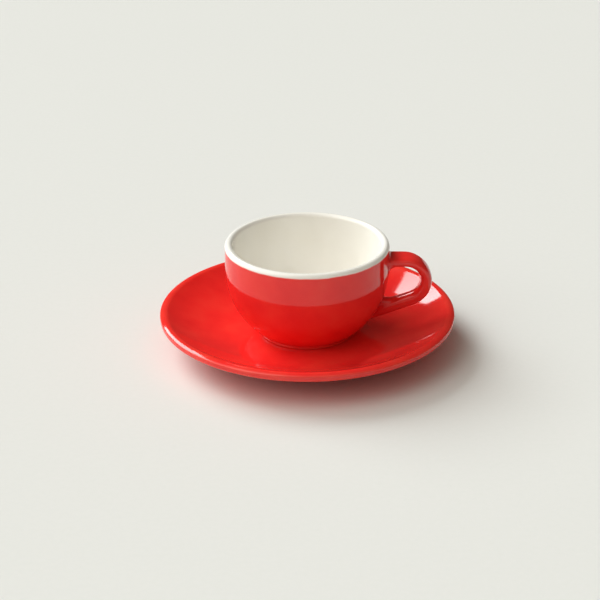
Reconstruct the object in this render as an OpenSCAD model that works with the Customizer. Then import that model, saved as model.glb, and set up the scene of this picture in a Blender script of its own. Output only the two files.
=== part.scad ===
// Latte bowl with saucer: a thick-walled bowl of a cup with one looped handle,
// standing in the flat well of a dished saucer. Millimetres, +Z up.
// The origin is on the table, at the centre of the saucer's foot ring. The handle points to +X.

/* [Bowl] */
// Outside diameter at the rim
rim_d = 90; // [80:0.5:108]
// Height from the foot ring to the top of the rim
cup_h = 52.5; // [46:0.5:63]
// Thickness of the wall, which the rim rounds over
wall_t = 4.4; // [3.2:0.1:5.4]
// Height of the straight wall, from the belly curve to the top of the rim
straight_h = 15; // [10:0.5:18]
// Thickness of the floor
floor_t = 5; // [4:0.1:6]
// Radius of the inside curve that joins the floor to the wall
floor_r = 20; // [12:0.5:24]
// Outside diameter of the foot ring
foot_d = 53; // [46:0.5:60]
// Height of the foot ring
foot_h = 2; // [1.5:0.1:3]
// Width of the foot ring
foot_w = 3.8; // [3:0.1:5]
// Step from the foot ring out to the belly
foot_step = 0.8; // [0.4:0.1:1.4]
// Height of the hollow under the floor, inside the foot ring
hollow_h = 2.7; // [2:0.1:3.2]

/* [Handle] */
// Reach of the handle beyond the outside of the rim
handle_reach = 23.6; // [20:0.2:28]
// Drop from the top of the rim to the thumb rest
thumb_drop = 8; // [7:0.2:11]
// Width of the strap along the thumb rest
thumb_w = 15.6; // [12:0.2:18]
// Thickness of the strap along the thumb rest
thumb_t = 4.7; // [3.6:0.1:5.6]
// Width of the lower arm
tail_w = 8.8; // [7:0.2:12]
// Thickness of the lower arm
tail_t = 7.2; // [5:0.1:8.4]
// Slope of the lower arm, in degrees
tail_slope = 20; // [14:1:26]
// Height above the foot ring at which the middle of the lower arm meets the belly
tail_root_h = 11; // [10:0.2:14]
// Fillet at the roots on the finger's side
root_inside_r = 4.5; // [2:0.1:5.4]
// Fillet at the roots on the outside of the loop
root_outside_r = 2; // [0.8:0.1:3]
// Thickness of the slip that sticks the handle to the wall
slip_t = 0.1; // [0.05:0.05:0.3]

/* [Saucer] */
// Outside diameter of the saucer
saucer_d = 163; // [140:1:190]
// Height of the lip above the table
saucer_h = 20.7; // [18:0.1:26]
// Thickness of the saucer
saucer_t = 4.5; // [3.6:0.1:5.2]
// Radius of the roll over the lip
lip_r = 8; // [6:0.1:10]
// Slope at which the roll ends, in degrees
lip_fall = 30; // [24:1:36]
// Rounding of the lip's outer edge
lip_edge_r = 1; // [0.8:0.1:1.4]
// Slope of the underside of the lip, in degrees
lip_under_slope = 22; // [18:1:24]
// Flat margin of the well around the cup's foot ring
well_margin = 4.5; // [2:0.5:9]
// Outside diameter of the saucer's foot ring
saucer_foot_d = 92; // [84:1:110]
// Height of the saucer's foot ring under the well
saucer_foot_h = 3.5; // [2.5:0.1:4.5]
// Width of the saucer's foot ring
saucer_foot_w = 4.4; // [3.4:0.1:6]
// Rounding of both foot rings' edges
foot_edge_r = 0.8; // [0.4:0.1:1.2]

/* [Hidden] */
$fn = 180;

RED = "#d9262b";
CREAM = "#f3eee0";

// Worked-out lengths are kept to a thousandth, and arcs that touch run a hair into each other
hair = 0.002;

// Bowl: the belly is one arc, tangent to the straight wall, that ends at the foot ring
rim_r = rim_d / 2;
inside_r = rim_r - wall_t;
rim_z = cup_h - wall_t / 2;
belly_z = cup_h - straight_h;
belly_foot_r = foot_d / 2 + foot_step;
belly_in = rim_r - belly_foot_r;
belly_drop = belly_z - foot_h;
belly_r = thousandth((belly_in ^ 2 + belly_drop ^ 2) / (2 * belly_in));
belly_x = rim_r - belly_r;
belly_inside_r = belly_r - wall_t;
floor_z = hollow_h + floor_t;

// Fillet of the floor: it touches the floor and the inside of the belly
fillet_z = floor_z + floor_r;
fillet_x = thousandth(belly_x + sqrt((belly_inside_r - floor_r) ^ 2 - (belly_z - fillet_z) ^ 2));
fillet_angle = atan2(fillet_z - belly_z, fillet_x - belly_x);

// Saucer: a hollow arc rises from the flat well and turns, without a corner, into the roll over the lip
saucer_r = saucer_d / 2;
well_r = foot_d / 2 + well_margin;
well_z = saucer_foot_h + saucer_t;
lip_edge_reach = lip_r - lip_edge_r;
lip_x = thousandth(saucer_r - lip_edge_r - lip_edge_reach * sin(lip_fall));
lip_z = saucer_h - lip_r;
dish_run = lip_x - well_r;
dish_slope = 2 * atan2(saucer_h - well_z, dish_run);
dish_r = thousandth(dish_run / sin(dish_slope) - lip_r);
dish_z = well_z + dish_r;
saucer_foot_r = saucer_foot_d / 2;
underside_z = dish_z - sqrt((dish_r + saucer_t) ^ 2 - max(0, saucer_foot_r - well_r) ^ 2);

// Handle: the middle line is a level arm, a bend and a sloping lower arm that ends at the belly,
// so the bend's radius follows from where the arms lie
taper_on_top_arm = 0.25;
bend_turn = 180 - tail_slope;
knuckle_t = mix(thumb_t, tail_t, ease(mix(taper_on_top_arm, 1, 90 / bend_turn)));
knuckle_x = rim_r + handle_reach - knuckle_t / 2;
thumb_z = cup_h - thumb_drop - thumb_t / 2;
tail_dir = [-cos(tail_slope), -sin(tail_slope)];
tail_root = [belly_x + sqrt(belly_r ^ 2 - (belly_z - tail_root_h) ^ 2), tail_root_h];
loop_size = [knuckle_x, thumb_z] - tail_root;
bend_r = (loop_size.x * tail_dir.y - loop_size.y * tail_dir.x) / (1 - tail_dir.x + tail_dir.y);
bend_x = knuckle_x - bend_r;
bend_z = thumb_z - bend_r;
bend_length = bend_r * bend_turn * PI / 180;
root_x = rim_r - wall_t;
top_length = bend_x - root_x;
tail_start = [bend_x, bend_z] + bend_r * [-tail_dir.y, tail_dir.x];
tail_length = norm(tail_start - tail_root) + 1.2 * tail_t;
handle_length = top_length + bend_length + tail_length;
thumb_roundness = 3.4;
tail_roundness = 2.5;
ring_step = 1.6;
ring_count = ceil(handle_length / ring_step);
ring_points = 32;

function thousandth(v) = round(v * 1000) / 1000;
function mix(a, b, t) = a + (b - a) * t;
function ease(t) = t * t * (3 - 2 * t);
function clamp(t, low, high) = min(high, max(low, t));
function signed_power(v, e) = sign(v) * abs(v) ^ e;

// How far a point along the middle line has turned round the bend, from 0 to 1
function turned(s) = clamp((s - top_length) / bend_length, 0, 1);

// How far the strap has tapered from the thumb rest to the lower arm, from 0 to 1
function tapered(s) = ease(mix(taper_on_top_arm * clamp(s / top_length, 0, 1), 1, turned(s)));

function out_dir(s) = let (a = 90 - bend_turn * turned(s)) [cos(a), sin(a)];

function middle(s) =
    s < top_length ? [root_x + s, thumb_z] :
    s < top_length + bend_length ? [bend_x, bend_z] + bend_r * out_dir(s) :
    tail_start + (s - top_length - bend_length) * tail_dir;

// Nearest point of the bowl's outside: how far it is, and which way it faces
function wall_gap(p) =
    let (r = norm([p.x, p.y]))
    p.z > belly_z ? r - rim_r : norm([r - belly_x, p.z - belly_z]) - belly_r;

function wall_dir(p) =
    let (r = norm([p.x, p.y]), d = p.z > belly_z ? [1, 0] : [r - belly_x, p.z - belly_z])
    [d.x * p.x / r, d.x * p.y / r, d.y] / norm(d);

function fillet(gap, r) = r <= 0 || gap >= r ? 0 : r - sqrt(r ^ 2 - (r - max(gap, 0)) ^ 2);

// One point of the strap: a rounded section, spread by a fillet where it nears the wall
function strap_point(s, a) =
    let (
        t = tapered(s),
        half_w = mix(thumb_w, tail_w, t) / 2,
        half_t = mix(thumb_t, tail_t, t) / 2,
        e = 2 / mix(thumb_roundness, tail_roundness, t),
        across = [half_w * signed_power(cos(a), e), half_t * signed_power(sin(a), e)],
        slope = [signed_power(cos(a), 2 - e) / half_w, signed_power(sin(a), 2 - e) / half_t],
        face = slope / norm(slope),
        o = out_dir(s),
        facing = [face.y * o.x, face.x, face.y * o.y],
        m = middle(s),
        p = [m.x + across.y * o.x, across.x, m.y + across.y * o.y],
        root_r = mix(root_inside_r, root_outside_r, clamp(1 + face.y, 0, 1)),
        spread = fillet(wall_gap(p), root_r * (1 - facing * wall_dir(p)))
    )
    p + spread * facing;

module strap() {
    points = [
        for (i = [0 : ring_count], k = [0 : ring_points - 1])
            strap_point(handle_length * i / ring_count, 360 * k / ring_points)
    ];
    sides = [
        for (i = [0 : ring_count - 1], k = [0 : ring_points - 1])
            let (a = i * ring_points + k, b = i * ring_points + (k + 1) % ring_points)
            each [[a, b, a + ring_points], [b, b + ring_points, a + ring_points]]
    ];
    first_end = [for (k = [ring_points - 1 : -1 : 0]) k];
    last_end = [for (k = [0 : ring_points - 1]) ring_count * ring_points + k];
    polyhedron(points, concat(sides, [first_end, last_end]));
}

// Section of a foot ring with rounded edges, from the ground up
module foot_section(outside_r, width, height) {
    translate([outside_r - width, foot_edge_r]) square([width, height - foot_edge_r]);
    translate([outside_r - width + foot_edge_r, 0]) square([width - 2 * foot_edge_r, height]);
    for (x = [outside_r - width + foot_edge_r, outside_r - foot_edge_r])
        translate([x, foot_edge_r]) circle(foot_edge_r);
}

// Section of the bowl's outside, filled to the axis and grown by a layer
module outside_section(layer = 0) {
    intersection() {
        translate([belly_x, belly_z]) circle(belly_r + layer);
        translate([0, foot_h]) square([rim_r + layer, belly_drop]);
    }
    translate([0, foot_h]) square([foot_d / 2, belly_drop]);
    translate([0, belly_z]) square([rim_r + layer, rim_z - belly_z]);
}

module bowl_section() {
    difference() {
        union() {
            outside_section();
            translate([rim_r - wall_t / 2, rim_z]) circle(wall_t / 2);
            foot_section(foot_d / 2, foot_w, hollow_h);
        }
        square([foot_d / 2 - foot_w, hollow_h]);
    }
}

// Slice of a disc between two angles less than 180 degrees apart
module sector(r, from, to) {
    reach = r / cos((to - from) / 2) + 1;
    intersection() {
        circle(r);
        polygon([[0, 0], reach * [cos(from), sin(from)], reach * [cos(to), sin(to)]]);
    }
}

module inside_section() {
    intersection() {
        square([rim_r, cup_h]);
        union() {
            translate([0, belly_z]) square([inside_r, straight_h]);
            translate([belly_x, belly_z]) sector(belly_inside_r, fillet_angle, 0);
            translate([fillet_x, fillet_z]) circle(floor_r + hair);
            translate([0, floor_z]) square([fillet_x, belly_z - floor_z]);
        }
    }
}

// Section of the rolled lip, about the middle of the roll
module lip_section() {
    edge_dir = [sin(lip_fall), cos(lip_fall)];
    edge_at = lip_edge_reach * edge_dir;
    under_dir = [cos(lip_under_slope), sin(lip_under_slope)];
    edge_end = edge_at + lip_edge_r * [under_dir.y, -under_dir.x];
    under_start = edge_end - 1.6 * lip_r * under_dir;
    intersection() {
        circle(lip_r + hair);
        polygon([under_start, edge_end, edge_at, 2 * lip_r * edge_dir, [-2 * lip_r, 2 * lip_r]]);
    }
    translate(edge_at) circle(lip_edge_r + 2 * hair);
}

module saucer_section() {
    translate([0, saucer_foot_h]) square([well_r, saucer_t]);
    translate([well_r, dish_z]) difference() {
        sector(dish_r + saucer_t, -90, dish_slope - 90);
        circle(dish_r);
    }
    translate([lip_x, lip_z]) lip_section();
    foot_section(saucer_foot_r, saucer_foot_w, underside_z + saucer_t / 4);
}

module saucer() {
    color(RED) rotate_extrude() saucer_section();
}

module cup_body() {
    translate([0, 0, well_z]) difference() {
        color(RED) rotate_extrude() bowl_section();
        color(CREAM) rotate_extrude() inside_section();
    }
}

module cup_handle() {
    translate([0, 0, well_z]) color(RED) difference() {
        strap();
        rotate_extrude() outside_section(slip_t);
    }
}

saucer();
cup_body();
cup_handle();
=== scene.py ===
# %% [markdown]
# # A latte bowl on its saucer
# The real thing is thick glazed stoneware: a wide cup with a looped handle, loose in the flat well of a
# dished saucer. This lesson turns clean profiles into smooth meshes, dips them in red and cream glaze,
# and lights them as a bright room does, by a window, a sunlit curtain and a pale wall. Lengths are written in
# millimetres, as a potter would measure them, and become metres only when a mesh is made.

# %% Load the model that the looks are built around
import math

import bpy
import numpy as np
from mathutils import Matrix, Vector


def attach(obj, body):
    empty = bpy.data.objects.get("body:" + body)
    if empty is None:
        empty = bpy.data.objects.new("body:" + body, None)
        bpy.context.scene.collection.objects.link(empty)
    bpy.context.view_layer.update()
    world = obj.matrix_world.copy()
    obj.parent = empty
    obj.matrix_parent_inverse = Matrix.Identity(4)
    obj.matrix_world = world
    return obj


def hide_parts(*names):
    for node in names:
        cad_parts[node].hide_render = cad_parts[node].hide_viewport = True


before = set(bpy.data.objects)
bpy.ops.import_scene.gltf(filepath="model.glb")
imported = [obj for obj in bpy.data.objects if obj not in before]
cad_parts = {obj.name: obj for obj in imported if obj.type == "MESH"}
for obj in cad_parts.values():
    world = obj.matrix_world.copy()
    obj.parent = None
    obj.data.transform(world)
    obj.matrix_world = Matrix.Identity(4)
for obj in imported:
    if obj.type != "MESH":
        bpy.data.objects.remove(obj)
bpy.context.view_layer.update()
MM = 0.001

# %% [markdown]
# ## The camera
# The photograph looks down on the cup by about 25 degrees, from a metre away through a long lens, so the
# saucer's ellipse hardly narrows towards the back. Blender could aim the camera with a constraint. Writing
# its three directions down instead keeps the slight roll of the hand-held picture.

# %% Camera at the photograph's angle
LOOK_DOWN = math.radians(24.9)
ROLL = math.radians(-0.22)
AIM = Vector((-3.97, 0.0, 25.65)) * MM
DISTANCE = 1.0
LENS_MM = 108.49
SENSOR_MM = 36

ahead = Vector((0, math.cos(LOOK_DOWN), -math.sin(LOOK_DOWN)))
level_up = Vector((0, math.sin(LOOK_DOWN), math.cos(LOOK_DOWN)))
level_right = Vector((1, 0, 0))
picture_right = level_right * math.cos(ROLL) + level_up * math.sin(ROLL)
picture_up = level_up * math.cos(ROLL) - level_right * math.sin(ROLL)
turned = Matrix((picture_right, picture_up, -ahead)).transposed().to_4x4()

camera = bpy.data.objects.new("camera", bpy.data.cameras.new("camera"))
camera.data.sensor_fit = "HORIZONTAL"
camera.data.sensor_width = SENSOR_MM
camera.data.lens = LENS_MM
camera.matrix_world = Matrix.Translation(AIM - ahead * DISTANCE) @ turned
bpy.context.scene.collection.objects.link(camera)
bpy.context.scene.camera = camera
print("camera at", [round(c, 4) for c in camera.location])

# %% [markdown]
# ## Profiles
# Thrown and jiggered ware is round about one axis, so half a section describes it completely. A screw
# modifier could spin a curve, but a profile of points can also carry, for each point, how far it lies from
# the edge of the glaze, and the materials use that later. A profile is a row of strokes, and where two
# strokes meet in a corner the glaze rounds it: there a small curve takes a little of both sides. The steps
# are fine, because a glossy glaze shows every facet in its reflections.

# %% Strokes of a profile
STROKE_STEP = 1.0
ARC_STEP = 3.0
LEAST_ARC_STEPS = 4


def arc(centre, radius, start, end):
    """Points on an arc, with angles in degrees from the level outward direction."""
    sweep = abs(end - start)
    by_length = math.ceil(math.radians(sweep) * radius / STROKE_STEP)
    count = max(LEAST_ARC_STEPS, math.ceil(sweep / ARC_STEP), by_length)
    angles = np.radians(np.linspace(start, end, count + 1))
    return np.stack([centre[0] + radius * np.cos(angles), centre[1] + radius * np.sin(angles)], 1)


def line(start, end):
    """Points on a straight stroke."""
    count = max(1, math.ceil(math.dist(start, end) / STROKE_STEP))
    return np.linspace(start, end, count + 1)


print(f"strokes take a point each {STROKE_STEP} mm and each {ARC_STEP} degrees")

# %% Join strokes into a profile
CORNER_STEPS = 12
LEAST_STEP = 0.05


def lengths_along(points):
    """Distance of each point from the first, along the row."""
    return np.concatenate([[0], np.cumsum(np.linalg.norm(np.diff(points, axis=0), axis=1))])


def shortened(stroke, at_start, at_end):
    """A stroke with a length taken off each end."""
    along = lengths_along(stroke)
    keep = (along > at_start + LEAST_STEP) & (along < along[-1] - at_end - LEAST_STEP)
    wanted = np.concatenate([[at_start], along[keep], [along[-1] - at_end]])
    return np.stack([np.interp(wanted, along, stroke[:, k]) for k in (0, 1)], 1)


def profile(strokes, corners):
    """Strokes joined into one row of points; each corner's length is what its curve takes off both sides."""
    cut = [0, *corners, 0]
    rows = [shortened(s, cut[i], cut[i + 1]) for i, s in enumerate(strokes)]
    t = np.linspace(0, 1, CORNER_STEPS + 1)[1:-1, None]
    points = [rows[0]]
    for before, after, taken, stroke in zip(rows, rows[1:], corners, strokes[1:]):
        if taken:
            corner = stroke[0]
            points.append((1 - t) ** 2 * before[-1] + 2 * t * (1 - t) * corner + t**2 * after[0])
            points.append(after)
        else:
            points.append(after[1:])
    return np.concatenate(points)


print(f"a corner's curve has {CORNER_STEPS} steps")

# %% [markdown]
# ## The saucer
# One pressed dish: a flat well, a wide shallow curve up to a lip that rolls over and ends in a blunt outer
# face, and a foot ring underneath, which keeps the hot glaze off the kiln shelf. A subdivided cage could
# round all that, but the radii would come out by chance. So the section is drawn. Its top is an S of two
# arcs, the hollow dish and the rounded lip, that meet without a kink, so their common slope follows from how
# far and how high the lip's crest lies from the well. The underside is an arc round the dish's own centre,
# and the wall is a little thicker outside the foot ring than inside it.

# %% Profile of the saucer
SAUCER_R = 81.5
SAUCER_H = 20.7
SAUCER_WELL_T, SAUCER_WALL_T = 4.5, 5.0
SAUCER_FOOT_R, SAUCER_FOOT_W, SAUCER_FOOT_H = 46.0, 4.4, 3.5
WELL_R = 31.0
WELL_Z = SAUCER_FOOT_H + SAUCER_WELL_T
LIP_R = 4.0
LIP_FALL = 42.0
LIP_CORNER, EDGE_CORNER = 0.5, 0.9
FOOT_EDGE, FOOT_FILLET = 0.8, 1.2

lip_at = (SAUCER_R - LIP_R * math.sin(math.radians(LIP_FALL)), SAUCER_H - LIP_R)
run, rise = lip_at[0] - WELL_R, SAUCER_H - WELL_Z
slope = 2 * math.degrees(math.atan2(rise, run))
dish_r = run / math.sin(math.radians(slope)) - LIP_R
dish_at = (WELL_R, WELL_Z + dish_r)
wall_r, well_r = dish_r + SAUCER_WALL_T, dish_r + SAUCER_WELL_T


def on_underside(r, radius):
    """Angle at which the underside, an arc of that radius, is at a distance r from the axis."""
    return -math.degrees(math.acos((r - WELL_R) / radius))


def foot_ring(outside, width, base, outside_top, inside_top):
    """Strokes down the outside of a foot ring, under it and up its inside."""
    inside = outside - width
    return [
        line((outside, outside_top), (outside, base)),
        line((outside, base), (inside, base)),
        line((inside, base), (inside, inside_top)),
    ]


lip = arc(lip_at, LIP_R, 90 + slope, 90 - LIP_FALL)
under_wall = arc(dish_at, wall_r, on_underside(SAUCER_R, wall_r), on_underside(SAUCER_FOOT_R, wall_r))
under_well = arc(dish_at, well_r, on_underside(SAUCER_FOOT_R - SAUCER_FOOT_W, well_r), -90)
saucer_profile = profile(
    [
        line((0, WELL_Z), (WELL_R, WELL_Z)),
        arc(dish_at, dish_r, -90, slope - 90),
        lip,
        line(lip[-1], under_wall[0]),
        under_wall,
        *foot_ring(SAUCER_FOOT_R, SAUCER_FOOT_W, 0, under_wall[-1][1], under_well[0][1]),
        under_well,
        line((WELL_R, SAUCER_FOOT_H), (0, SAUCER_FOOT_H)),
    ],
    [0, 0, LIP_CORNER, EDGE_CORNER, FOOT_FILLET, FOOT_EDGE, FOOT_EDGE, FOOT_FILLET, 0],
)
print(f"saucer profile: {len(saucer_profile)} points")
print(f"dish: radius {dish_r:.1f} mm, steepest {slope:.1f} degrees")

# %% [markdown]
# ## The bowl of the cup
# The wall is 4.4 mm thick all the way and rounds over at the rim. Outside, a straight wall runs into one
# belly arc that ends in a small step above the foot ring. Inside, the floor joins the wall in a wide curve,
# which a spoon can follow. A lathe-like profile suits it as it suits the saucer, and the arcs meet without a
# kink because their centres are worked out from each other.

# %% Profile of the bowl
RIM_R = 45.0
CUP_H = 52.5
WALL_T = 4.4
STRAIGHT_H = 15.0
FLOOR_T, FLOOR_R = 5.0, 20.0
FOOT_R, FOOT_W, FOOT_H = 26.5, 3.8, 2.0
FOOT_STEP = 0.8
HOLLOW_H = 2.7
STEP_EDGE, STEP_FILLET, HOLLOW_FILLET = 0.5, 0.35, 1.0

top_z = WELL_Z + CUP_H
rim_at = (RIM_R - WALL_T / 2, top_z - WALL_T / 2)
belly_z = top_z - STRAIGHT_H
foot_z = WELL_Z + FOOT_H
hollow_z = WELL_Z + HOLLOW_H
belly_in = RIM_R - FOOT_R - FOOT_STEP
belly_r = (belly_in**2 + (belly_z - foot_z) ** 2) / (2 * belly_in)
belly_at = (RIM_R - belly_r, belly_z)
belly_end = math.degrees(math.atan2(foot_z - belly_z, FOOT_R + FOOT_STEP - belly_at[0]))
floor_z = hollow_z + FLOOR_T
fillet_z = floor_z + FLOOR_R
inner_r = belly_r - WALL_T
fillet_at = (belly_at[0] + math.sqrt((inner_r - FLOOR_R) ** 2 - (belly_z - fillet_z) ** 2), fillet_z)
fillet_end = math.degrees(math.atan2(fillet_z - belly_z, fillet_at[0] - belly_at[0]))

bowl_profile = profile(
    [
        line((0, floor_z), (fillet_at[0], floor_z)),
        arc(fillet_at, FLOOR_R, -90, fillet_end),
        arc(belly_at, inner_r, fillet_end, 0),
        line((RIM_R - WALL_T, belly_z), (RIM_R - WALL_T, rim_at[1])),
        arc(rim_at, WALL_T / 2, 180, 0),
        line((RIM_R, rim_at[1]), (RIM_R, belly_z)),
        arc(belly_at, belly_r, 0, belly_end),
        line((FOOT_R + FOOT_STEP, foot_z), (FOOT_R, foot_z)),
        *foot_ring(FOOT_R, FOOT_W, WELL_Z, foot_z, hollow_z),
        line((FOOT_R - FOOT_W, hollow_z), (0, hollow_z)),
    ],
    [0, 0, 0, 0, 0, 0, STEP_EDGE, STEP_FILLET, FOOT_EDGE, FOOT_EDGE, HOLLOW_FILLET],
)
print(f"bowl profile: {len(bowl_profile)} points, belly radius {belly_r:.1f} mm")

# %% [markdown]
# ## From profile to mesh
# Spinning the profile gives rings of four-sided faces, and one point at each end of the axis. Each point
# also gets numbers for the materials: `dip_mm`, how far it is inside the cream glaze's edge, `bare_mm`, how
# far it is inside the wiped, unglazed foot, and `bend`, how sharply the surface turns there, because molten
# glaze draws thinner over an edge; the same number lightens the glaze there, partly as a thinner coat and
# partly as a painted highlight. Vertex colours could carry them too, but attributes keep millimetres as they
# are.

# %% Make a mesh with its numbers


def finish_mesh(name, points, faces, numbers):
    """A smooth mesh object from points in millimetres, with one named attribute for each row of numbers."""
    mesh = bpy.data.meshes.new(name)
    mesh.from_pydata((np.asarray(points) * MM).tolist(), [], faces)
    mesh.polygons.foreach_set("use_smooth", np.ones(len(mesh.polygons), bool))
    for number, values in numbers.items():
        attribute = mesh.attributes.new(number, "FLOAT", "POINT")
        attribute.data.foreach_set("value", np.asarray(values, np.float32))
    mesh.validate()
    piece = bpy.data.objects.new(name, mesh)
    bpy.context.scene.collection.objects.link(piece)
    print(f"{name}: {len(mesh.vertices)} points, {len(mesh.polygons)} faces")
    return piece


def tube_faces(rings, around):
    """Faces of a closed tube of rings, whose two end points come after all the rings."""
    first, last = rings * around, rings * around + 1
    faces = []
    for k in range(around):
        n = (k + 1) % around
        faces.append((first, k, n))
        faces += [(i + k, i + around + k, i + around + n, i + n) for i in range(0, first - around, around)]
        faces.append((last, first - around + n, first - around + k))
    return faces


print("a tube of 2 rings with 3 points each has", len(tube_faces(2, 3)), "faces")

# %% Spin a profile round the axis
TURNS = 300


def bend_of(points):
    """Turn of a profile per millimetre at each point: above 0 over an edge, below 0 in a hollow."""
    before = np.diff(points, axis=0, prepend=2 * points[:1] - points[1:2])
    after = np.diff(points, axis=0, append=2 * points[-1:] - points[-2:-1])
    before_size, after_size = np.linalg.norm(before, axis=1), np.linalg.norm(after, axis=1)
    turn = (before[:, 0] * after[:, 1] - before[:, 1] * after[:, 0]) / (before_size * after_size)
    return -np.arcsin(np.clip(turn, -1, 1)) / ((before_size + after_size) / 2)


def spun(name, points, numbers):
    """Spins a profile that starts and ends on the axis."""
    around = np.linspace(0, 2 * math.pi, TURNS, endpoint=False)
    r, z = points[1:-1].T
    x, y = np.outer(r, np.cos(around)), np.outer(r, np.sin(around))
    rings = np.stack([x, y, np.outer(z, np.ones(TURNS))], 2)
    body = np.concatenate([rings.reshape(-1, 3), [[0, 0, points[0][1]], [0, 0, points[-1][1]]]])
    spread = {a: np.concatenate([np.repeat(v[1:-1], TURNS), [v[0], v[-1]]]) for a, v in numbers.items()}
    return finish_mesh(name, body, tube_faces(len(r), TURNS), spread)


print(f"the saucer's edges bend by up to {bend_of(saucer_profile).max():.2f} radians in a millimetre")

# %% The saucer and the bowl as meshes
GLAZE_LINE_DROP = 2.1
WIPED_H = 0.05
NEVER_BARE = -9.0
CLOSE = 0.01


def wiped(points, base):
    """How far a point lies inside the ring that the sponge wiped clean, in millimetres."""
    return base + WIPED_H - points[:, 1]


# The bend lightens the glaze over edges: partly a thinner coat, partly a painted highlight
saucer = spun(
    "saucer_glazed",
    saucer_profile,
    {"bare_mm": wiped(saucer_profile, 0), "bend": bend_of(saucer_profile)},
)

along_bowl = lengths_along(bowl_profile)
on_outside = (bowl_profile[:, 0] > RIM_R - CLOSE) & (bowl_profile[:, 1] < rim_at[1] + CLOSE)
rim_end = np.argmax(on_outside)
glaze_line = along_bowl[rim_end] + rim_at[1] - (top_z - GLAZE_LINE_DROP)
below_rim = np.arange(len(bowl_profile)) > rim_end
bowl = spun(
    "cup_bowl_glazed",
    bowl_profile,
    {
        "dip_mm": glaze_line - along_bowl,
        "bare_mm": np.where(below_rim, wiped(bowl_profile, WELL_Z), NEVER_BARE),
        "bend": bend_of(bowl_profile),
    },
)

# %% [markdown]
# ## The handle
# A cast strap: wide and flat where the thumb rests, it turns down round the finger and tapers to a slim,
# rounder arm that runs back into the belly. A curve with a bevel has one section all the way, so the strap
# is lofted instead: a row of rounded rectangles along the middle line, each with its own width, thickness
# and roundness. The middle line is level, then an arc, then straight, and the arc's radius follows from where
# the arm meets the belly.

# %% The handle's middle line
HANDLE_REACH = 23.6
THUMB_DROP = 8.0
THUMB_W, THUMB_T, THUMB_ROUND = 15.6, 4.7, 3.4
TAIL_W, TAIL_T, TAIL_ROUND = 8.8, 7.2, 2.5
TAIL_SLOPE = math.radians(20)
TAIL_ROOT_Z = WELL_Z + 11.0
TAPER_ON_TOP = 0.25


def mix(a, b, t):
    """The value at a part t of the way from a to b."""
    return a + (b - a) * t


def ease(t):
    """A part of the way that starts and stops gently."""
    return t * t * (3 - 2 * t)


bend_angle = math.pi - TAIL_SLOPE
knuckle_t = mix(THUMB_T, TAIL_T, ease(mix(TAPER_ON_TOP, 1, math.pi / 2 / bend_angle)))
knuckle_x = RIM_R + HANDLE_REACH - knuckle_t / 2
thumb_z = top_z - THUMB_DROP - THUMB_T / 2
tail_dir = np.array([-math.cos(TAIL_SLOPE), -math.sin(TAIL_SLOPE)])
tail_root = np.array([belly_at[0] + math.sqrt(belly_r**2 - (belly_z - TAIL_ROOT_Z) ** 2), TAIL_ROOT_Z])
loop = np.array([knuckle_x, thumb_z]) - tail_root
bend_r = (loop[0] * tail_dir[1] - loop[1] * tail_dir[0]) / (1 - tail_dir[0] + tail_dir[1])
bend_at = np.array([knuckle_x - bend_r, thumb_z - bend_r])
root_x = RIM_R - WALL_T
top_length = bend_at[0] - root_x
bend_length = bend_r * bend_angle
tail_start = bend_at + bend_r * np.array([-tail_dir[1], tail_dir[0]])
arm_length = np.linalg.norm(tail_start - tail_root)
print(f"handle: bend radius {bend_r:.2f} mm, lower arm {arm_length:.1f} mm")

# %% [markdown]
# Near the wall each section spreads into a fillet, where the potter's brush smoothed the slip, and it ends
# just under the wall's surface. A boolean union would leave a sharp crease there. Instead each point of a
# section looks how far the wall is and moves out along its own normal, as if a ball rolled in the corner.

# %% One section of the strap
ROOT_IN, ROOT_OUT = 4.5, 2.0
LEAST_ROOT = 1e-6
EMBED, EMBED_SLOWS = 0.6, 0.15


def wall_gap(p):
    """Distance of points from the bowl's outside, and the way that the wall faces there."""
    r = np.hypot(p[..., 0], p[..., 1])
    straight = p[..., 2] > belly_z
    out = np.where(straight, 1.0, r - belly_at[0])
    rise = np.where(straight, 0.0, p[..., 2] - belly_z)
    size = np.hypot(out, rise)
    gap = np.where(straight, r - RIM_R, size - belly_r)
    out, rise = out / size, rise / size
    return gap, np.stack([out * p[..., 0] / r, out * p[..., 1] / r, rise], -1)


def signed_power(v, e):
    """A power that keeps the sign, as a rounded rectangle needs it."""
    return np.sign(v) * np.abs(v) ** e


def rounded_rectangle(half_w, half_t, roundness, angles):
    """Points across and through a strap's section, and the way that it faces at each."""
    c, d, e = np.cos(angles), np.sin(angles), 2 / roundness
    section = np.stack([half_w * signed_power(c, e), half_t * signed_power(d, e)], -1)
    face = np.stack([signed_power(c, 2 - e) / half_w, signed_power(d, 2 - e) / half_t], -1)
    return section, face / np.linalg.norm(face, axis=1, keepdims=True)


def into_wall(p, facing, root_r):
    """Points spread into a fillet where the wall is near, and how far each one spread."""
    gap, wall = wall_gap(p)
    lean = (facing * wall).sum(1)
    radius = np.maximum(root_r * (1 - lean), LEAST_ROOT)
    inside = np.clip(radius - np.maximum(gap, 0), 0, None)
    spread = radius - np.sqrt(radius**2 - inside**2)
    moved = p + spread[:, None] * facing
    drift, wall = wall_gap(moved)
    wanted = gap + spread * lean
    wanted = np.where(wanted < -EMBED, -EMBED + EMBED_SLOWS * (wanted + EMBED), wanted)
    return moved + (wanted - drift)[:, None] * wall, spread


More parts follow.
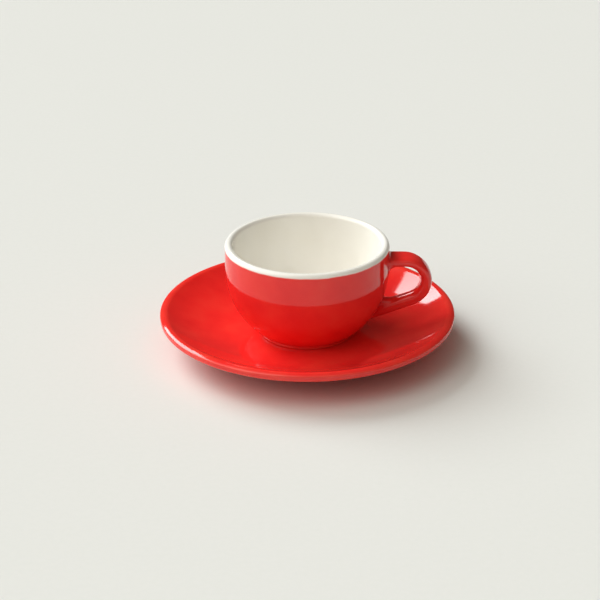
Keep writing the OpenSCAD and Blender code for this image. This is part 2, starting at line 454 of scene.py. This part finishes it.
def strap_ring(s, angles):
    """A section of the strap at a length s along its middle line, and how much glaze pools at its points,
    which also sets how much shade is painted there.
    """
    bent = min(1.0, max(0.0, (s - top_length) / bend_length))
    t = ease(mix(TAPER_ON_TOP * min(1.0, max(0.0, s / top_length)), 1, bent))
    half_w, half_t = mix(THUMB_W, TAIL_W, t) / 2, mix(THUMB_T, TAIL_T, t) / 2
    section, face = rounded_rectangle(half_w, half_t, mix(THUMB_ROUND, TAIL_ROUND, t), angles)
    out_angle = math.pi / 2 - bend_angle * bent
    out = np.array([math.cos(out_angle), math.sin(out_angle)])
    if s < top_length:
        middle = np.array([root_x + s, thumb_z])
    elif s < top_length + bend_length:
        middle = bend_at + bend_r * out
    else:
        middle = tail_start + (s - top_length - bend_length) * tail_dir
    p = np.stack([middle[0] + section[:, 1] * out[0], section[:, 0], middle[1] + section[:, 1] * out[1]], -1)
    facing = np.stack([face[:, 1] * out[0], face[:, 0], face[:, 1] * out[1]], -1)
    moved, spread = into_wall(p, facing, mix(ROOT_IN, ROOT_OUT, np.clip(1 + face[:, 1], 0, 1)))
    return moved, np.minimum(spread / ROOT_IN, 1)


print(f"fillets: {ROOT_IN} mm inside the loop and {ROOT_OUT} mm outside it")

# %% [markdown]
# The sections are then strung along the middle line. Even steps would do, but all of them would have to be
# as fine as the fillets need. So the steps are short in the fillets, where the shape changes fastest, and
# longer on the open strap and inside the wall.

# %% Loft the strap
RING_POINTS = 72
FILLET_STEP, STRAIGHT_STEP, BEND_STEP, BURIED_STEP = 0.16, 0.8, 0.6, 0.6
TOP_FILLET = (2.6, 9.5)
ARM_FILLET = (-7.5, 3.0)
ARM_OVERRUN = 0.8 * TAIL_T

tail_end = top_length + bend_length + arm_length
reaches = [
    (TOP_FILLET[0], BURIED_STEP),
    (TOP_FILLET[1], FILLET_STEP),
    (top_length, STRAIGHT_STEP),
    (top_length + bend_length, BEND_STEP),
    (tail_end + ARM_FILLET[0], STRAIGHT_STEP),
    (tail_end + ARM_FILLET[1], FILLET_STEP),
    (tail_end + ARM_OVERRUN, BURIED_STEP),
]
stations = [0.0]
for stop, step in reaches:
    start = stations[-1]
    stations += list(np.linspace(start, stop, math.ceil((stop - start) / step) + 1)[1:])
ring_angles = np.linspace(0, 2 * math.pi, RING_POINTS, endpoint=False)
# How far each point lies in a root fillet: there the glaze pools and shade is painted darker
rings, pooled_and_shaded = zip(*(strap_ring(s, ring_angles) for s in stations))
points = np.concatenate([*rings, [rings[0].mean(0)], [rings[-1].mean(0)]])
# The rings turn the other way from a spun profile's, so each face is read backwards to look outwards
faces = [(face[0], *face[:0:-1]) for face in tube_faces(len(rings), RING_POINTS)]
handle = finish_mesh(
    "cup_handle_glazed",
    points,
    faces,
    {"pooled_and_shaded": np.concatenate([*pooled_and_shaded, [1], [1]]), "bare_mm": np.full(len(points), NEVER_BARE)},
)

# %% [markdown]
# ## Glazes
# A glaze is a thin coat of coloured glass melted onto the clay. Its top is as smooth as window glass, so it
# mirrors the room a little, with an IOR of about 1.5, and the colour comes from below that mirror. Up close
# it is never quite even: it lies in soft waves, like the skin of an orange, a few millimetres apart, and its
# colour deepens where the coat is thick and lightens where it drew back from an edge. Here the lightening
# over edges is also a painted highlight, and the darkening at the handle's roots is also painted shade.

# %% One function for nodes, one for colours
# A Mix node's sockets for colours share their names with those for numbers, so they are counted instead
MIX_FACTOR, MIX_A, MIX_B, MIX_RESULT = 0, 6, 7, 2
MIX_FROM, MIX_TO, MIX_NUMBER = 2, 3, 0


def linear(hex_colour):
    """An sRGB colour such as #f3eee0 as the linear RGBA that Blender's sockets take."""
    parts = [int(hex_colour[i : i + 2], 16) / 255 for i in (1, 3, 5)]
    return (*[c / 12.92 if c <= 0.04045 else ((c + 0.055) / 1.055) ** 2.4 for c in parts], 1.0)


def add(tree, kind, inputs=None, **settings):
    """Adds a node; inputs maps a socket's name or number to a value or to the socket that feeds it."""
    node = tree.nodes.new(kind)
    for name, value in settings.items():
        setattr(node, name, value)
    for name, value in (inputs or {}).items():
        if isinstance(value, bpy.types.NodeSocket):
            tree.links.new(value, node.inputs[name])
        else:
            node.inputs[name].default_value = value
    return node


def empty_material(name):
    """A material without nodes, and its node tree."""
    material = bpy.data.materials.new(name)
    material.use_nodes = True
    material.node_tree.nodes.clear()
    return material, material.node_tree


print("mid grey #808080 is", round(linear("#808080")[0], 3), "in linear light")

# %% [markdown]
# Both glazes share one recipe, and it has three parts: how thick the coat lies, which gives the colour, where
# the coat ends, and how smooth it is. The coat is cloudy on the open surface, thinner and lighter over edges,
# where it is also a painted highlight, and thick and darker where it pools at the handle's roots, where it is
# also painted shade. A painted mask could do that once, for one size. Noise that is scaled in millimetres,
# with the numbers on the mesh's points, does it for any.

# %% Colour of the coat, with a painted highlight and painted shade
NOISE_RANGE = {"From Min": 0.3, "From Max": 0.7}
# How much edges are lightened: partly a thinner coat, partly a painted highlight
EDGE_BEND = {"From Min": 0.08, "From Max": 0.6, "To Max": 0.25}
CLOUD_COAT = {"To Min": 0.3, "To Max": 0.6}
# How much the root fillets are darkened: partly pooled glaze, partly painted shade
POOLED_AND_SHADED_COAT = -0.35
EVEN_COAT = 0.45


def coat_colour_with_painted_light(tree, cloud, deep_and_shade, even, thin_and_highlight):
    """Colour of a glaze by the thickness of its coat, with a painted highlight over edges and painted shade
    at the handle's roots.
    """
    bend = add(tree, "ShaderNodeAttribute", attribute_name="bend").outputs["Fac"]
    pooled_and_shaded = add(tree, "ShaderNodeAttribute", attribute_name="pooled_and_shaded").outputs["Fac"]
    # Lighter over edges: partly a thinner coat, partly a painted highlight
    thin_edge_and_highlight = add(tree, "ShaderNodeMapRange", {"Value": bend, **EDGE_BEND}).outputs["Result"]
    clouds = add(tree, "ShaderNodeMapRange", {"Value": cloud, **NOISE_RANGE, **CLOUD_COAT}).outputs["Result"]
    lighter = add(tree, "ShaderNodeMath", {0: clouds, 1: thin_edge_and_highlight}, operation="ADD").outputs["Value"]
    # Darker in the handle's root fillets: partly pooled glaze, partly painted shade
    coat_and_painted_light = add(tree, "ShaderNodeMath", {0: pooled_and_shaded, 1: POOLED_AND_SHADED_COAT, 2: lighter}, operation="MULTIPLY_ADD")
    ramp = add(tree, "ShaderNodeValToRGB", {"Fac": coat_and_painted_light.outputs["Value"]})
    ramp.color_ramp.elements[0].color = linear(deep_and_shade)
    ramp.color_ramp.elements[1].color = linear(thin_and_highlight)
    ramp.color_ramp.elements.new(EVEN_COAT).color = linear(even)
    return ramp.outputs["Color"]


print("the open coat lies between", CLOUD_COAT["To Min"], "and", CLOUD_COAT["To Max"], "on the colour ramp")

# %% Where the coats end
DIP_WANDER_MM, DIP_BLUR_MM = 0.9, 0.9
WIPE_WANDER_MM = 0.4
WIPE_EDGE = {"From Min": 0.2, "From Max": 0.3}


def dipped_part(tree, wave):
    """1 inside the second dip, whose edge wanders by a fraction of a millimetre and blurs over one."""
    dip = add(tree, "ShaderNodeAttribute", attribute_name="dip_mm").outputs["Fac"]
    edge = add(tree, "ShaderNodeMath", {0: wave, 1: DIP_WANDER_MM, 2: dip}, operation="MULTIPLY_ADD")
    blur = {"Value": edge.outputs["Value"], "From Min": 0.0, "From Max": DIP_BLUR_MM}
    return add(tree, "ShaderNodeMapRange", blur, interpolation_type="SMOOTHSTEP").outputs["Result"]


def bare_part(tree, wave):
    """1 on the foot, which is wiped clean before firing, so that it doesn't stick to the kiln shelf."""
    bare = add(tree, "ShaderNodeAttribute", attribute_name="bare_mm").outputs["Fac"]
    edge = add(tree, "ShaderNodeMath", {0: wave, 1: WIPE_WANDER_MM, 2: bare}, operation="MULTIPLY_ADD")
    return add(tree, "ShaderNodeMapRange", {"Value": edge.outputs["Value"], **WIPE_EDGE}).outputs["Result"]


print(f"the cream's edge wanders by {DIP_WANDER_MM} mm and blurs over {DIP_BLUR_MM} mm")

# %% [markdown]
# The skin of the glaze is two sizes of noise in the bump: wide waves of 9 mm, which make the edges of
# reflections wander, and a fine peel of 1.6 mm, which softens them. Real displacement could do it too, but
# the skin is at most two hundredths of a millimetre high, and a bump costs no points. Bare clay is dull, so
# there the roughness rises.

# %% The glaze recipe
# Each noise has a size in millimetres and a detail
CLOUD, WAVE, PEEL = (16.0, 3.0), (9.0, 1.0), (1.6, 2.0)
WAVE_H, PEEL_H = 0.018, 0.0015
GLAZE_IOR = 1.5
GLAZE_ROUGHNESS = {"To Min": 0.045, "To Max": 0.075}
CLAY, CLAY_ROUGHNESS = "#e9dfcb", 0.75


def glaze(name, deep_and_shade, even, thin_and_highlight, cream=None):
    """Glossy glaze on stoneware; with cream, the inside and the rim are dipped in that."""
    material, tree = empty_material(name)
    place = add(tree, "ShaderNodeTexCoord").outputs["Object"]
    noises = []
    for size, detail in (CLOUD, WAVE, PEEL):
        grain = {"Vector": place, "Scale": 1 / (size * MM), "Detail": detail}
        noises.append(add(tree, "ShaderNodeTexNoise", grain).outputs["Fac"])
    cloud, wave, peel = noises

    colour = coat_colour_with_painted_light(tree, cloud, deep_and_shade, even, thin_and_highlight)
    if cream:
        warm, pale = cream
        tones = {MIX_FACTOR: cloud, MIX_A: linear(warm), MIX_B: linear(pale)}
        milk = add(tree, "ShaderNodeMix", tones, data_type="RGBA").outputs[MIX_RESULT]
        dips = {MIX_FACTOR: dipped_part(tree, wave), MIX_A: colour, MIX_B: milk}
        colour = add(tree, "ShaderNodeMix", dips, data_type="RGBA").outputs[MIX_RESULT]
    bare = bare_part(tree, wave)
    coats = {MIX_FACTOR: bare, MIX_A: colour, MIX_B: linear(CLAY)}
    colour = add(tree, "ShaderNodeMix", coats, data_type="RGBA").outputs[MIX_RESULT]

    smooth = add(tree, "ShaderNodeMapRange", {"Value": peel, **NOISE_RANGE, **GLAZE_ROUGHNESS})
    dulled = {MIX_FACTOR: bare, MIX_FROM: smooth.outputs["Result"], MIX_TO: CLAY_ROUGHNESS}
    rough = add(tree, "ShaderNodeMix", dulled, data_type="FLOAT").outputs[MIX_NUMBER]
    waves = add(tree, "ShaderNodeBump", {"Height": wave, "Strength": 1.0, "Distance": WAVE_H * MM})
    on_waves = {"Height": peel, "Strength": 1.0, "Distance": PEEL_H * MM, "Normal": waves.outputs["Normal"]}
    skin = add(tree, "ShaderNodeBump", on_waves).outputs["Normal"]
    finish = {"Base Color": colour, "Roughness": rough, "IOR": GLAZE_IOR, "Normal": skin}
    shader = add(tree, "ShaderNodeBsdfPrincipled", finish)
    add(tree, "ShaderNodeOutputMaterial", {"Surface": shader.outputs["BSDF"]})
    print(f"{name}: {len(tree.nodes)} nodes")
    return material


print(f"glaze: waves of {WAVE[0]} mm and a peel of {PEEL[0]} mm, IOR {GLAZE_IOR}")

# %% [markdown]
# The red is a selenium glaze, the usual fire-engine red of café ware. It lets almost no green or blue back
# out, so its shadows stay red and never turn grey. The cream is a tin-white glaze with a touch of iron, milky
# and warm. The handle is stuck on before the dip, so it shares the red.

# %% Dip the pieces
# The deepest red also paints shade at the handle's roots
# The palest red also paints a highlight over edges
SELENIUM_RED = {"deep_and_shade": "#df1620", "even": "#f12f2b", "thin_and_highlight": "#f84c3a"}
TIN_CREAM = ("#f8f5ec", "#fbf9f3")
red_glaze = glaze("selenium_red_glaze_on_stoneware", **SELENIUM_RED)
two_tone_glaze = glaze("red_and_cream_glaze_on_stoneware", **SELENIUM_RED, cream=TIN_CREAM)

for piece, node, body, material, slot in (
    (saucer, "saucer", "saucer", red_glaze, "red_glaze"),
    (bowl, "cup_body", "cup", two_tone_glaze, "red_and_cream_glaze"),
    (handle, "cup_handle", "cup", red_glaze, "red_glaze"),
):
    piece.data.materials.append(material)
    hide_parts(node)
    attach(piece, body)
    print(piece.name, "rides on", body)

# %% [markdown]
# ## The table
# The cup stands on a pale table that fills the picture: board with a matt lacquer, which scatters light and
# hardly mirrors. A plane would do, but a wide disc has no corner that another view could catch. Its pressed
# fibres give the pale grey a faint cloud, a few millimetres across.

# %% The table
TABLE_RADIUS, TABLE_SIDES = 7, 96
FIBRE_MM, FIBRE_DETAIL = 3.0, 4.0
LACQUER = ("#dfe0db", "#e3e3df")
LACQUER_GLOSS = {"Roughness": 0.8, "Specular IOR Level": 0.2}

bpy.ops.mesh.primitive_circle_add(vertices=TABLE_SIDES, radius=TABLE_RADIUS, fill_type="NGON")
table = bpy.context.object
table.name = "pale_table"
board, tree = empty_material("matt_lacquered_board")
place = add(tree, "ShaderNodeTexCoord").outputs["Object"]
grain = {"Vector": place, "Scale": 1 / (FIBRE_MM * MM), "Detail": FIBRE_DETAIL}
fibre = add(tree, "ShaderNodeTexNoise", grain).outputs["Fac"]
tones = {MIX_FACTOR: fibre, MIX_A: linear(LACQUER[0]), MIX_B: linear(LACQUER[1])}
tone = add(tree, "ShaderNodeMix", tones, data_type="RGBA").outputs[MIX_RESULT]
shader = add(tree, "ShaderNodeBsdfPrincipled", {"Base Color": tone, **LACQUER_GLOSS})
add(tree, "ShaderNodeOutputMaterial", {"Surface": shader.outputs["BSDF"]})
table.data.materials.append(board)
print(f"table: {2 * TABLE_RADIUS} m across")

# %% [markdown]
# ## The light of the room
# Most of the light comes from the left, and the shadows fall to the right. Area lamps could stand in for it,
# but a lamp near the cup lights the table unevenly. So the light is painted into the world, by direction: a
# dim room all round, a soft glow where a sunlit curtain hangs at the left, and a weaker one on the wall
# behind the camera, which opens the shadows. A direction's dot product with the middle of a glow says how
# near it is.

# %% The room and its glows
ROOM = (0.055, 0.046, 0.036)
GLOWS = {
    "curtain": {
        "azimuth": -105,
        "elevation": 46,
        "full_within": 10,
        "ends_at": 45,
        "light": (1.85, 1.83, 1.78),
    },
    "front_wall": {
        "azimuth": -170,
        "elevation": 52,
        "full_within": 15,
        "ends_at": 60,
        "light": (0.5, 0.465, 0.41),
    },
}

world = bpy.data.worlds.new("room")
bpy.context.scene.world = world
world.use_nodes = True
tree = world.node_tree
tree.nodes.clear()
direction = add(tree, "ShaderNodeTexCoord").outputs["Generated"]


def towards(azimuth, elevation=0):
    """Unit direction, with the azimuth in degrees from straight behind the cup, negative to the left."""
    az, el = math.radians(azimuth), math.radians(elevation)
    return (math.sin(az) * math.cos(el), math.cos(az) * math.cos(el), math.sin(el))


light = (*ROOM, 1)
for name, glow in GLOWS.items():
    middle = {0: direction, 1: towards(glow["azimuth"], glow["elevation"])}
    near = add(tree, "ShaderNodeVectorMath", middle, operation="DOT_PRODUCT").outputs["Value"]
    end, full = (math.cos(math.radians(glow[angle])) for angle in ("ends_at", "full_within"))
    fade = {"Value": near, "From Min": end, "From Max": full}
    part = add(tree, "ShaderNodeMapRange", fade, interpolation_type="SMOOTHSTEP").outputs["Result"]
    sum_of = {MIX_FACTOR: part, MIX_A: light, MIX_B: (*glow["light"], 1)}
    light = add(tree, "ShaderNodeMix", sum_of, data_type="RGBA", blend_type="ADD").outputs[MIX_RESULT]
    print("glow", name, glow)

# %% [markdown]
# The window behind the cup, at the left, is what the glaze mirrors: as a white patch in the dish, and as a
# streak along the lip. It is a rectangle in an upright wall, so its edges stay straight lines there. A
# direction meets the wall at its part along the wall, or up it, divided by its part towards the wall. Each
# edge keeps one side of a line in the wall: so much across plus so much up has to be more than a least
# value. A drape hides the lower right corner.

# %% The window in the wall
WALL_AZIMUTH = -63
WINDOW_LIGHT = (8.0, 8.35, 8.45)
WINDOW_EDGES = {
    "left": (1, 0, -0.2),
    "right": (-1, 0, -0.885),
    "sill": (0, 1, 0.43),
    "head": (0, -1, -1.26),
    "drape": (-0.8, 1, 0.02),
}
SOFT_EDGE = 0.02
FACING_WALL = 0.01

out = {0: direction, 1: towards(WALL_AZIMUTH)}
to_wall = add(tree, "ShaderNodeVectorMath", out, operation="DOT_PRODUCT").outputs["Value"]
facing = {"Value": to_wall, "From Min": 0.0, "From Max": FACING_WALL}
part = add(tree, "ShaderNodeMapRange", facing, interpolation_type="SMOOTHSTEP").outputs["Result"]
side = towards(WALL_AZIMUTH + 90)
for name, (across, up, least) in WINDOW_EDGES.items():
    way = {0: direction, 1: (across * side[0], across * side[1], up)}
    slant = add(tree, "ShaderNodeVectorMath", way, operation="DOT_PRODUCT").outputs["Value"]
    in_wall = add(tree, "ShaderNodeMath", {0: slant, 1: to_wall}, operation="DIVIDE").outputs["Value"]
    edge = {"Value": in_wall, "From Min": least - SOFT_EDGE, "From Max": least + SOFT_EDGE}
    inside = add(tree, "ShaderNodeMapRange", edge, interpolation_type="SMOOTHSTEP").outputs["Result"]
    part = add(tree, "ShaderNodeMath", {0: part, 1: inside}, operation="MULTIPLY").outputs["Value"]
    print(f"window's {name}: {across} across and {up} up make at least {least}")
seen = {MIX_FACTOR: part, MIX_A: light, MIX_B: (*WINDOW_LIGHT, 1)}
light = add(tree, "ShaderNodeMix", seen, data_type="RGBA").outputs[MIX_RESULT]
shine = add(tree, "ShaderNodeBackground", {"Color": light})
add(tree, "ShaderNodeOutputWorld", {"Surface": shine.outputs["Background"]})

# %% [markdown]
# ## Colours as they are written
# The standard view shows a colour as its hex value says, where a film-like one would wash out this red. The
# glazed ware has to fit into the size that was engineered.

# %% The view
bpy.context.scene.view_settings.view_transform = "Standard"
